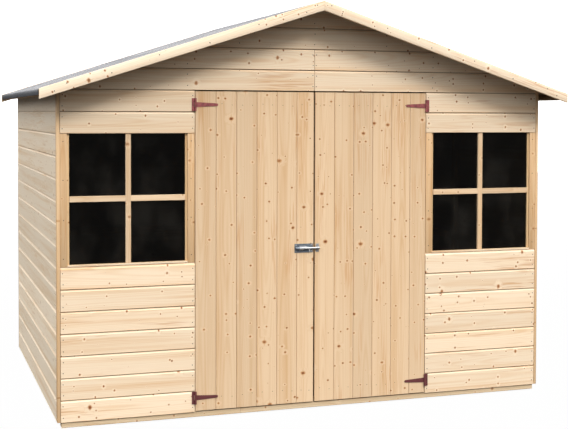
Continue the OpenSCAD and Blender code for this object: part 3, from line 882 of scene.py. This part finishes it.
def wall_nails():
    door_x = -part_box("front_left_cladding")[1][0]
    end_x = -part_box("front_left_cladding")[0][0]
    inner, outer = door_x + 12 * MM, end_x - 10 * MM
    places = []
    for first, last in ((0, SILL_ROWS), (13, 15)):
        places += row_nails(FRONT, (-outer, -inner, inner, outer), first, last)
    places += row_nails(FRONT, (-outer, -0.70, -10 * MM, 10 * MM, 0.70, outer), 15, 17, roof=True)
    places += row_nails(FRONT, (-0.42, 0.0, 0.42), 17, 20, roof=True)
    places += row_nails(BACK, (-HALF_W + 0.02, -12 * MM, 12 * MM, HALF_W - 0.02), 0, 17, roof=True)
    places += row_nails(BACK, (-0.42, 0.0, 0.42), 17, 20, roof=True)
    low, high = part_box("left_wall_cladding")
    frame_low, frame_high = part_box("left_wall_frame")
    middle = (frame_low[1] + frame_high[1]) / 2
    columns = (low[1] + 60 * MM, frame_low[1] + 20 * MM, middle, frame_high[1] - 20 * MM)
    places += row_nails(RIGHT, columns, 0, 15)
    places += row_nails(LEFT, [-c for c in columns], 0, 15)
    for side in ("left", "right"):
        low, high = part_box(f"{side}_window_frame")
        for x in (low[0] + 18 * MM, high[0] - 18 * MM):
            for share in (0.06, 0.35, 0.65, 0.94):
                z = low[2] + (high[2] - low[2]) * share
                places.append(((x + jitter(), low[1], z), (0, -1, 0)))
    heads("wall_nails", "shed", "bolt_zinc", NAIL, places, 2.5 * MM, 0.2 * MM)


def door_nails():
    """Two nails in each board at both ledges."""
    for name in ("left", "right"):
        low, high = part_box(f"{name}_door_leaf")
        ledge_low, ledge_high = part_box(f"{name}_door_ledges")
        places = []
        x = low[0]
        while x < high[0] - 1 * MM:
            width = min(DOOR_BOARD, high[0] - x)
            for z in (ledge_low[2] + 40 * MM, ledge_high[2] - 43 * MM):
                for u in (0.25, 0.75):
                    places.append(((x + width * u + jitter(), low[1], z + jitter(6 * MM)), (0, -1, 0)))
            x += width
        heads(f"{name}_door_nails", f"{name}_door", "bolt_zinc", NAIL, places, 1.8 * MM, 0.3 * MM)


def barge_nails():
    places = []
    for end, out in (("front", -1), ("back", 1)):
        for side in ("left", "right"):
            low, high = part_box(f"{end}_{side}_bargeboard")
            y = low[1] + NAIL_PROUD if out < 0 else high[1] - NAIL_PROUD
            sign = -1 if side == "left" else 1
            for x, drop in ((0.04, 14), (0.10, 34), (0.36, 20), (0.62, 36), (0.88, 18),
                            (1.12, 34), (1.34, 16), (1.40, 36)):
                z = APEX_Z - SLOPE * x - drop * MM
                places.append(((sign * x, y, z), (0, out, 0)))
    heads("bargeboard_nails", "shed", "bolt_zinc", NAIL, places, 3.0 * MM, 0.4 * MM)


# ---- Ironwork ----

def ironwork():
    for side in ("left", "right"):
        for node in (f"{side}_hinge_plates", f"{side}_hinge_straps"):
            paint(node, HINGE_PAINT)
        low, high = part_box(f"{side}_hinge_straps")
        plate_low, plate_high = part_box(f"{side}_hinge_plates")
        sign = -1 if side == "left" else 1
        pin = (low[0] if sign < 0 else high[0]) - sign * 5.5 * MM
        strap_face = low_face(f"{side}_hinge_straps")
        levels = (low[2] + 13 * MM, high[2] - 13 * MM)
        strap_screws = [((pin - sign * d, strap_face, z), (0, -1, 0))
                        for z in levels for d in (26 * MM, 68 * MM, 112 * MM)]
        heads(f"{side}_strap_screws", f"{side}_door", "hinge_paint", HINGE_PAINT, strap_screws,
              3.4 * MM, 1.2 * MM, cross=0.4)
        plate_screws = [((pin + sign * 13 * MM, strap_face, z + dz), (0, -1, 0))
                        for z in levels for dz in (-24 * MM, 24 * MM)]
        heads(f"{side}_plate_screws", "shed", "hinge_paint", HINGE_PAINT, plate_screws,
              3.2 * MM, 1.2 * MM, cross=0.4)
    paint("bolt_plate", ZINC)
    paint("bolt_keeper", PLATED)
    paint("bolt_rod", BRIGHT)
    low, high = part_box("bolt_plate")
    face = FRONT_Y - 2 * MM
    corners = [((x, face, z), (0, -1, 0)) for x in (low[0] + 9 * MM, high[0] - 9 * MM)
               for z in (low[2] + 7 * MM, high[2] - 7 * MM)]
    heads("bolt_screws", "left_door", "bolt_zinc", BRIGHT, corners, 3.2 * MM, 1.2 * MM, cross=0.4)
    low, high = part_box("bolt_keeper")
    x = (low[0] + high[0]) / 2
    ends = [((x, face, z), (0, -1, 0)) for z in (low[2] + 7 * MM, high[2] - 7 * MM)]
    heads("keeper_screws", "right_door", "bolt_zinc", BRIGHT, ends, 3.2 * MM, 1.2 * MM, cross=0.4)


def strap_section(turn):
    """A strap from a foot on the plate, over the barrel, to turn radians round it; a half turn ends in a foot."""
    low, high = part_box("bolt_plate")
    mid_z = (low[2] + high[2]) / 2
    axis_y = low[1] + 7.5 * MM
    face = FRONT_Y - 2 * MM
    radius, thick, foot, sunk = 7.6 * MM, 1.0 * MM, 6 * MM, 0.1 * MM
    angles = [turn * k / 12 for k in range(13)]
    inner = [(axis_y - radius * math.sin(a), mid_z + radius * math.cos(a)) for a in angles]
    outer = [(axis_y - (radius + thick) * math.sin(a), mid_z + (radius + thick) * math.cos(a)) for a in angles]
    start = [(face - thick, mid_z + radius + thick), (face - thick, mid_z + radius + foot),
             (face - sunk, mid_z + radius + foot), (face - sunk, mid_z + radius)]
    if turn < math.pi:
        return start + inner + outer[::-1]
    end = [(y, 2 * mid_z - z) for y, z in start[::-1]]
    return start + inner + end + outer[::-1]


def bolt_saddle():
    """A strap over the barrel: whole where the knob doesn't reach, and open below where it does."""
    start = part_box("bolt_plate")[0][0]
    bm = bmesh.new()
    for x1, x2, turn in ((26, 48, math.pi), (48, 67, math.pi * 0.55)):
        section = strap_section(turn)
        ends = [[bm.verts.new((start + x * MM, y, z)) for y, z in section] for x in (x1, x2)]
        bm.faces.new(ends[0])
        bm.faces.new(ends[1][::-1])
        for k in range(len(section)):
            j = (k + 1) % len(section)
            bm.faces.new((ends[0][j], ends[0][k], ends[1][k], ends[1][j]))
    bmesh.ops.recalc_face_normals(bm, faces=bm.faces)
    mesh = bpy.data.meshes.new("bolt_saddle")
    bm.to_mesh(mesh)
    bm.free()
    put("bolt_saddle", mesh, "left_door", "bolt_zinc", PLATED)


def low_face(node):
    """The outer face of a hinge's flat metal, which lies on the wall's face."""
    return FRONT_Y - 2.5 * MM


def paint(node, material):
    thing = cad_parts[node]
    for slot in thing.material_slots:
        slot.material = material


# ---- Windows ----

JAMB_W = 38 * MM
SILL_T = 1.5 * MM


def window_bars():
    """An upright bar and a cross bar in front of each pane, a little behind the strips' face."""
    upright_w, cross_w = 27 * MM, 30 * MM
    for side, shift in (("left", 0.0), ("right", -6 * MM)):
        paint(f"{side}_window_glass", GLASS)
        low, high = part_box(f"{side}_window_glass")
        middle = (low[0] + high[0]) / 2 + shift
        face, back = FRONT_Y + 6 * MM, low[1] - 0.3 * MM
        timber = Timber()
        place = Matrix(((0, 0, 1, middle - upright_w / 2), (0, 1, 0, face), (1, 0, 0, low[2]), (0, 0, 0, 1)))
        timber.prism(flat_board(upright_w, back - face, gap=0.0, ease=1.2 * MM), high[2] - low[2], place)
        cross_z = SKIRT_Z + 9.9 * ROW_H
        for start, end in ((low[0], middle - upright_w / 2), (middle + upright_w / 2, high[0])):
            place = Matrix.Translation((start, face + 2 * MM, cross_z))
            timber.prism(flat_board(cross_w, back - face - 2 * MM, gap=0.0, ease=1.2 * MM), end - start, place)
        timber.finish(f"{side}_window_bars", "shed", "trim_timber", TRIM_PINE)
        sill_low, sill_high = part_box(f"{side}_window_frame")
        sill_h = low[2] - sill_low[2] - 1 * MM
        timber = Timber()
        start, end = sill_low[0] + JAMB_W, sill_high[0] - JAMB_W
        place = Matrix.Translation((start, sill_low[1] - SILL_T, sill_low[2]))
        timber.prism(flat_board(sill_h, SILL_T - 0.1 * MM, gap=0.0, ease=0.3 * MM), end - start, place)
        timber.finish(f"{side}_window_sill", "shed", "trim_timber", WALL_PINE)


# ---- Stage ----

def stage():
    """A pale floor that curves up into a wall far off, all round, and lets the studio's light through."""
    profile = [(0.0, 0.0), (26.0, 0.0)]
    profile += [(26.0 + 8.0 * math.sin(a), 8.0 - 8.0 * math.cos(a)) for a in (math.radians(d) for d in range(15, 91, 15))]
    profile += [(34.0, 30.0)]
    around = 48
    verts = [(r * math.cos(math.tau * k / around), r * math.sin(math.tau * k / around), z)
             for r, z in profile[1:] for k in range(around)]
    faces = [tuple(range(around))]
    for ring in range(len(profile) - 2):
        for k in range(around):
            j = (k + 1) % around
            base = ring * around
            faces.append((base + k, base + j, base + around + j, base + around + k))
    mesh = bpy.data.meshes.new("ground")
    mesh.from_pydata(verts, [], faces)
    mesh.polygons.foreach_set("use_smooth", [True] * len(mesh.polygons))
    ground = bpy.data.objects.new("ground", mesh)
    bpy.context.scene.collection.objects.link(ground)
    material, tree, shader = new_material("pale_floor", Roughness=1.0, Specular_IOR_Level=0.0)
    shader.inputs["Base Color"].default_value = (0.6, 0.6, 0.6, 1)
    shader.inputs["Emission Color"].default_value = (1.0, 1.0, 1.0, 1)
    shader.inputs["Emission Strength"].default_value = 0.995
    mesh.materials.append(material)
    ground.visible_diffuse = False
    ground.visible_glossy = False
    ground.visible_transmission = False
    ground.visible_shadow = False


def sky():
    """Slightly cool light that grows from the horizon up, and little from below it."""
    world = bpy.data.worlds.new("studio")
    bpy.context.scene.world = world
    world.use_nodes = True
    tree = world.node_tree
    back = tree.nodes["Background"]
    direction = tree.nodes.new("ShaderNodeTexCoord").outputs["Generated"]
    _, _, up = split(tree, direction)
    back.inputs["Color"].default_value = (1.0, 0.98, 0.95, 1)
    plug(tree, back.inputs["Strength"], (up * 2.25 + 0.10).math("MAXIMUM", 0.10))


def lamp(name, aim, energy, angle, colour):
    """A broad soft light that shines along aim."""
    data = bpy.data.lights.new(name, "SUN")
    data.angle = math.radians(angle)
    data.energy = energy
    data.color = colour
    thing = bpy.data.objects.new(name, data)
    thing.rotation_euler = Vector(aim).to_track_quat("-Z", "Y").to_euler()
    bpy.context.scene.collection.objects.link(thing)


def studio_lights():
    lamp("key", (-0.22, 0.67, -0.70), 2.10, 18, (1.0, 0.95, 0.885))
    lamp("left_fill", (0.80, 0.22, -0.56), 1.05, 60, (0.94, 0.97, 1.03))


make_camera()
front_walls()
other_walls()
framing()
door_boards()
floor_boards()
roof_boards()
roof_felt()
wall_nails()
door_nails()
barge_nails()
ironwork()
bolt_saddle()
window_bars()
ground_strip()
stage()
sky()
studio_lights()
bpy.context.scene.view_settings.view_transform = "Standard"
